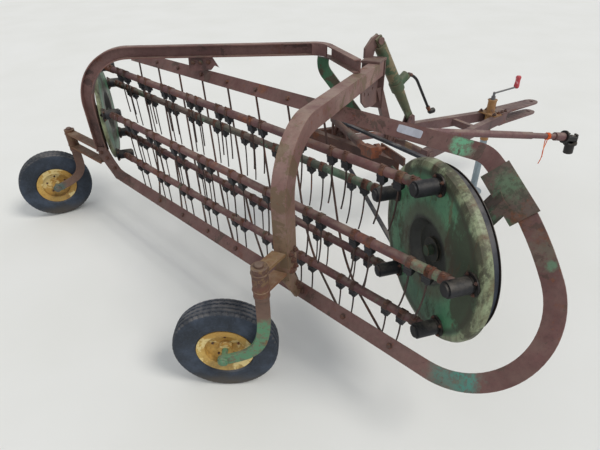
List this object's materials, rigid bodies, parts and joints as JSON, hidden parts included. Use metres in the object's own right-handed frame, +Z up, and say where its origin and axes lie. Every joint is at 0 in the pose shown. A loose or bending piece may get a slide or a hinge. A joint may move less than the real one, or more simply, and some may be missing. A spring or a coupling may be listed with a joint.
{
  "type": "rotary hay rake",
  "caption": "Towed parallel-bar side-delivery hay rake with a belt-driven reel, stripper rods, a railed basket, caster wheels, a jack and a lift cylinder.",
  "frame": {"origin": "centre of the hitch pin hole, at the middle of the hitch plate's thickness", "axes": "+X along the reel's shafts towards the front, +Y to the machine's left, +Z up"},
  "size_m": [3.5171, 2.5061, 1.1636],
  "materials": {
    "arch_paint": "old paint gone to even brown rust",
    "rail_paint": "rusty rail with green paint left in patches",
    "strip_steel": "dark rusty rod",
    "green_paint": "faded dull green paint",
    "head_paint": "worn pale green paint",
    "bearing_black": "greasy black bearing housings",
    "bar_paint": "rusty tube",
    "mount_rubber": "weathered black rubber",
    "tooth_steel": "dark spring steel wire",
    "belt_rubber": "bluish black belt",
    "tongue_paint": "dark brown rust",
    "rusty_iron": "rusty iron",
    "jack_paint": "yellow-orange paint",
    "zinc": "galvanised steel",
    "caster_paint": "green paint worn to tan",
    "bracket_paint": "tan worn steel",
    "rim_paint": "yellow paint",
    "hose_black": "black rubber hose",
    "pto_paint": "rusty brown tube",
    "tyre_rubber": "bluish black tyre"
  },
  "bodies": {
    "frame": {"front_arch": "arch_paint", "rear_arch": "arch_paint", "rail_loop": "rail_paint", "strippers": "strip_steel", "mast": "arch_paint", "brace_arm": "green_paint", "front_head_bearing": "green_paint", "rear_head_bearing": "green_paint", "front_caster_bracket": "bracket_paint", "rear_caster_bracket": "bracket_paint", "drive_beam": "rusty_iron", "belt_tightener": "rusty_iron", "belt": "belt_rubber"},
    "front_reel_head": {"front_head": "head_paint", "front_pivots": "bearing_black"},
    "rear_reel_head": {"rear_head": "head_paint", "rear_pivots": "bearing_black"},
    "drive_pulley": {"drive_sheave": "rusty_iron", "drive_shaft": "rusty_iron"},
    "draft_tongue": {"tongue": "tongue_paint", "hitch_plates": "tongue_paint", "jack_tube": "jack_paint", "jack_crank": "jack_paint"},
    "jack_foot": {"jack_leg": "zinc"},
    "lift_cylinder": {"lift_barrel": "green_paint", "lift_hose": "hose_black"},
    "pto_shaft": {"pto_tube": "pto_paint", "pto_yoke": "bearing_black"},
    "lift_piston": {"lift_rod": "green_paint"},
    "front_caster": {"front_caster_arm": "caster_paint"},
    "front_wheel": {"front_rim": "rim_paint", "front_tyre": "tyre_rubber"},
    "rear_caster": {"rear_caster_arm": "caster_paint"},
    "rear_wheel": {"rear_rim": "rim_paint", "rear_tyre": "tyre_rubber"},
    "tooth_bar_1": {"bar_1": "bar_paint", "mounts_1": "mount_rubber", "teeth_1": "tooth_steel"},
    "tooth_bar_2": {"bar_2": "bar_paint", "mounts_2": "mount_rubber", "teeth_2": "tooth_steel"},
    "tooth_bar_3": {"bar_3": "bar_paint", "mounts_3": "mount_rubber", "teeth_3": "tooth_steel"},
    "tooth_bar_4": {"bar_4": "bar_paint", "mounts_4": "mount_rubber", "teeth_4": "tooth_steel"},
    "tooth_bar_5": {"bar_5": "bar_paint", "mounts_5": "mount_rubber", "teeth_5": "tooth_steel"}
  },
  "joints": [
    {"name": "reel_turn", "type": "hinge", "parent": "frame", "child": "front_reel_head", "pos_m": [-1.60969, -1.4562, 0.19131], "axis": [1, 0, 0], "continuous": true},
    {"name": "rear_head_turn", "type": "hinge", "parent": "frame", "child": "rear_reel_head", "pos_m": [-2.78309, 0.33356, 0.19131], "axis": [1, 0, 0], "continuous": true},
    {"name": "pulley_turn", "type": "hinge", "parent": "frame", "child": "drive_pulley", "pos_m": [-1.60969, -0.4562, 0.17131], "axis": [1, 0, 0], "continuous": true},
    {"name": "tongue_hinge", "type": "hinge", "parent": "frame", "child": "draft_tongue", "pos_m": [-1.17969, -0.4062, 0.07631], "axis": [-0.3256, 0.9455, 0], "range_deg": [0, 12]},
    {"name": "jack_slide", "type": "slide", "parent": "draft_tongue", "child": "jack_foot", "axis": [0, 0, 1], "range_m": [0, 0.2]},
    {"name": "lift_tilt", "type": "hinge", "parent": "frame", "child": "lift_cylinder", "pos_m": [-1.32787, -0.29818, 0.61631], "axis": [-0.3256, 0.9455, 0], "range_deg": [-1, 3]},
    {"name": "lift_stroke", "type": "slide", "parent": "lift_cylinder", "child": "lift_piston", "axis": [0.5078, 0.1742, -0.8437], "range_m": [-0.005, 0.06]},
    {"name": "pto_turn", "type": "hinge", "parent": "frame", "child": "pto_shaft", "pos_m": [-1.20969, -0.4562, 0.17131], "axis": [0.9869, -0.026, -0.1593], "continuous": true},
    {"name": "front_caster_swivel", "type": "hinge", "parent": "frame", "child": "front_caster", "pos_m": [-2.18902, -1.35797, -0.51969], "axis": [0, 0, 1], "range_deg": [-30, 30]},
    {"name": "front_wheel_roll", "type": "hinge", "parent": "front_caster", "child": "front_wheel", "pos_m": [-2.33669, -1.2272, -0.30169], "axis": [-0.2756, -0.9613, 0], "continuous": true},
    {"name": "rear_caster_swivel", "type": "hinge", "parent": "frame", "child": "rear_caster", "pos_m": [-3.05153, 0.43278, -0.51969], "axis": [0, 0, 1], "range_deg": [-30, 30]},
    {"name": "rear_wheel_roll", "type": "hinge", "parent": "rear_caster", "child": "rear_wheel", "pos_m": [-3.24409, 0.47556, -0.30169], "axis": [0.225, -0.9744, 0], "continuous": true},
    {"name": "bar_1_pivot", "type": "hinge", "parent": "front_reel_head", "child": "tooth_bar_1", "pos_m": [-1.60969, -1.47018, 0.45794], "axis": [1, 0, 0], "continuous": true},
    {"name": "bar_2_pivot", "type": "hinge", "parent": "front_reel_head", "child": "tooth_bar_2", "pos_m": [-1.60969, -1.7141, 0.26042], "axis": [1, 0, 0], "continuous": true},
    {"name": "bar_3_pivot", "type": "hinge", "parent": "front_reel_head", "child": "tooth_bar_3", "pos_m": [-1.60969, -1.60162, -0.03261], "axis": [1, 0, 0], "continuous": true},
    {"name": "bar_4_pivot", "type": "hinge", "parent": "front_reel_head", "child": "tooth_bar_4", "pos_m": [-1.60969, -1.28817, -0.01619], "axis": [1, 0, 0], "continuous": true},
    {"name": "bar_5_pivot", "type": "hinge", "parent": "front_reel_head", "child": "tooth_bar_5", "pos_m": [-1.60969, -1.20694, 0.287], "axis": [1, 0, 0], "continuous": true}
  ],
  "couplings": [
    {"joint": "rear_head_turn", "follows": "reel_turn", "ratio": 1},
    {"joint": "pulley_turn", "follows": "reel_turn", "ratio": 3.0947},
    {"joint": "pto_turn", "follows": "reel_turn", "ratio": 3.0947},
    {"joint": "lift_tilt", "follows": "tongue_hinge", "ratio": 0.1269},
    {"joint": "lift_stroke", "follows": "tongue_hinge", "m_per_rad": 0.196},
    {"joint": "bar_1_pivot", "follows": "reel_turn", "ratio": -1},
    {"joint": "bar_2_pivot", "follows": "reel_turn", "ratio": -1},
    {"joint": "bar_3_pivot", "follows": "reel_turn", "ratio": -1},
    {"joint": "bar_4_pivot", "follows": "reel_turn", "ratio": -1},
    {"joint": "bar_5_pivot", "follows": "reel_turn", "ratio": -1}
  ]
}
